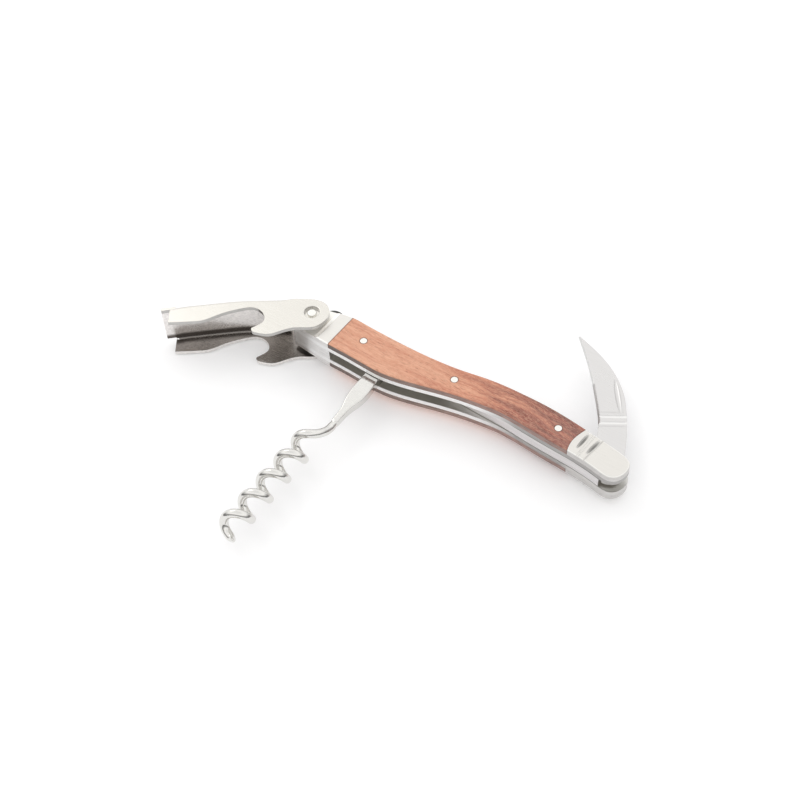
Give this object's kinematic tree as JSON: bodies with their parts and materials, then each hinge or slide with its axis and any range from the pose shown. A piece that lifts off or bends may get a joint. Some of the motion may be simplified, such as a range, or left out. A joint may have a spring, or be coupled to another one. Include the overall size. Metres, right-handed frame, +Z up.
{
  "type": "waiters corkscrew",
  "caption": "Folding waiters corkscrew with a wood-scaled steel handle, a pivoting channel lever, a fold-out worm and a fold-out foil knife.",
  "frame": {"origin": "middle of the open tool's footprint at table height, with the tool lying on its side", "axes": "+X along the handle from the lever end to the knife end, +Y towards the back edge where the knife folds out, +Z up out of the handle's flat side; all three pivots turn about +Z"},
  "size_m": [0.1576, 0.1202, 0.016],
  "materials": {
    "wood": "oiled rosewood",
    "liner_steel": "ground",
    "bolster_steel": "satin",
    "pin_steel": "polished",
    "spacer_steel": "ground",
    "spring_steel": "ground",
    "lever_steel": "polished",
    "rivet_steel": "polished",
    "worm_steel": "polished",
    "blade_steel": "fine ground",
    "washer_steel": "brushed"
  },
  "bodies": {
    "handle": {"upper_scale": "wood", "lower_scale": "wood", "upper_liner": "liner_steel", "lower_liner": "liner_steel", "upper_front_bolster": "bolster_steel", "lower_front_bolster": "bolster_steel", "upper_rear_bolster": "bolster_steel", "lower_rear_bolster": "bolster_steel", "front_scale_pin": "pin_steel", "middle_scale_pin": "pin_steel", "upper_rear_scale_pin": "pin_steel", "lower_rear_scale_pin": "pin_steel", "nose_pin": "pin_steel", "upper_bolster_pin": "pin_steel", "lower_bolster_pin": "pin_steel", "worm_pivot_pin": "pin_steel", "knife_pivot_pin": "pin_steel", "nose_spacer": "spacer_steel", "center_spring": "spring_steel", "upper_knife_washer": "washer_steel", "lower_knife_washer": "washer_steel"},
    "lever": {"lever": "lever_steel", "lever_rivet": "rivet_steel"},
    "worm": {"worm": "worm_steel"},
    "knife": {"knife_blade": "blade_steel"}
  },
  "joints": [
    {"name": "lever_fold", "type": "hinge", "parent": "handle", "child": "lever", "pos_m": [-0.03572, 0.01988, 0.008], "axis": [0, 0, 1], "range_deg": [-7, 132]},
    {"name": "worm_fold", "type": "hinge", "parent": "handle", "child": "worm", "pos_m": [-0.00782, 0.01568, 0.008], "axis": [0, 0, 1], "range_deg": [-5, 89.2]},
    {"name": "knife_fold", "type": "hinge", "parent": "handle", "child": "knife", "pos_m": [0.07278, 0.01808, 0.008], "axis": [0, 0, 1], "range_deg": [-120, 46.5]}
  ],
  "couplings": [
    {"joint": "worm_fold", "follows": "lever_fold", "ratio": 0.675}
  ]
}
